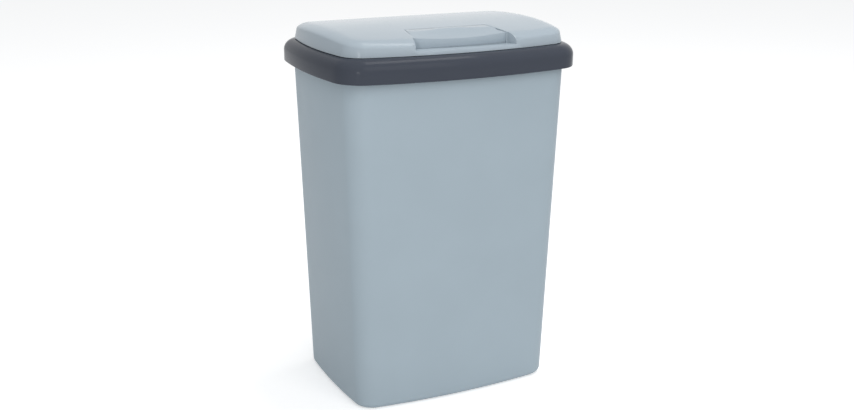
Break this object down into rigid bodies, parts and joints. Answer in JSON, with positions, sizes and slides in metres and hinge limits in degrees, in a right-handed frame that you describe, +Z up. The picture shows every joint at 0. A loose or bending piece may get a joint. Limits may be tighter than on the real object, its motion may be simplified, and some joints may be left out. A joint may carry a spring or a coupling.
{
  "type": "countertop waste bin",
  "caption": "Countertop waste bin: tapered body, lift-off collar, and a rear-hinged domed lid opened by a push pad in its front.",
  "frame": {"origin": "middle of the base, on the surface that the bin stands on", "axes": "+Z up, -Y the front with the push pad, +X to the right as seen from the front"},
  "size_m": [0.24, 0.181, 0.3388],
  "materials": {
    "bin_plastic": "smooth semi-gloss moulded plastic, grey-blue",
    "collar_plastic": "smooth semi-gloss moulded plastic, dark grey",
    "lid_plastic": "smooth semi-gloss moulded plastic, pale blue-grey",
    "latch_plastic": "fine matt moulded plastic, dark grey",
    "hook_plastic": "natural white slippery plastic",
    "pin_steel": "drawn bright steel",
    "spring_steel": "oiled spring wire",
    "screw_steel": "zinc plated steel",
    "buffer_rubber": "soft black rubber"
  },
  "bodies": {
    "bin": {"bin_body": "bin_plastic"},
    "rim": {"collar": "collar_plastic", "hinge_pin_left": "pin_steel", "hinge_pin_right": "pin_steel", "lid_spring_left": "spring_steel", "lid_spring_right": "spring_steel", "lid_buffer_left": "buffer_rubber", "lid_buffer_right": "buffer_rubber", "latch_keeper": "latch_plastic", "keeper_screws": "screw_steel"},
    "cover": {"lid": "lid_plastic", "latch_carrier": "latch_plastic", "carrier_screws": "screw_steel", "pad_pin": "pin_steel", "pad_spring_left": "spring_steel", "pad_spring_right": "spring_steel"},
    "pad": {"push_pad": "lid_plastic", "latch_hook": "hook_plastic", "hook_screws": "screw_steel"}
  },
  "joints": [
    {"name": "collar_lift", "type": "slide", "parent": "bin", "child": "rim", "axis": [0, 0, 1], "range_m": [0, 0.06]},
    {"name": "lid_hinge", "type": "hinge", "parent": "rim", "child": "cover", "pos_m": [0, 0.0825, 0.325], "axis": [-1, 0, 0], "range_deg": [0, 95], "deforming": ["lid_spring_left", "lid_spring_right"]},
    {"name": "pad_press", "type": "hinge", "parent": "cover", "child": "pad", "pos_m": [0, -0.039, 0.3264], "axis": [1, 0, 0], "range_deg": [0, 4], "stiffness_Nm_per_rad": 3, "springref_deg": -2.86, "deforming": ["pad_spring_left", "pad_spring_right"]}
  ]
}
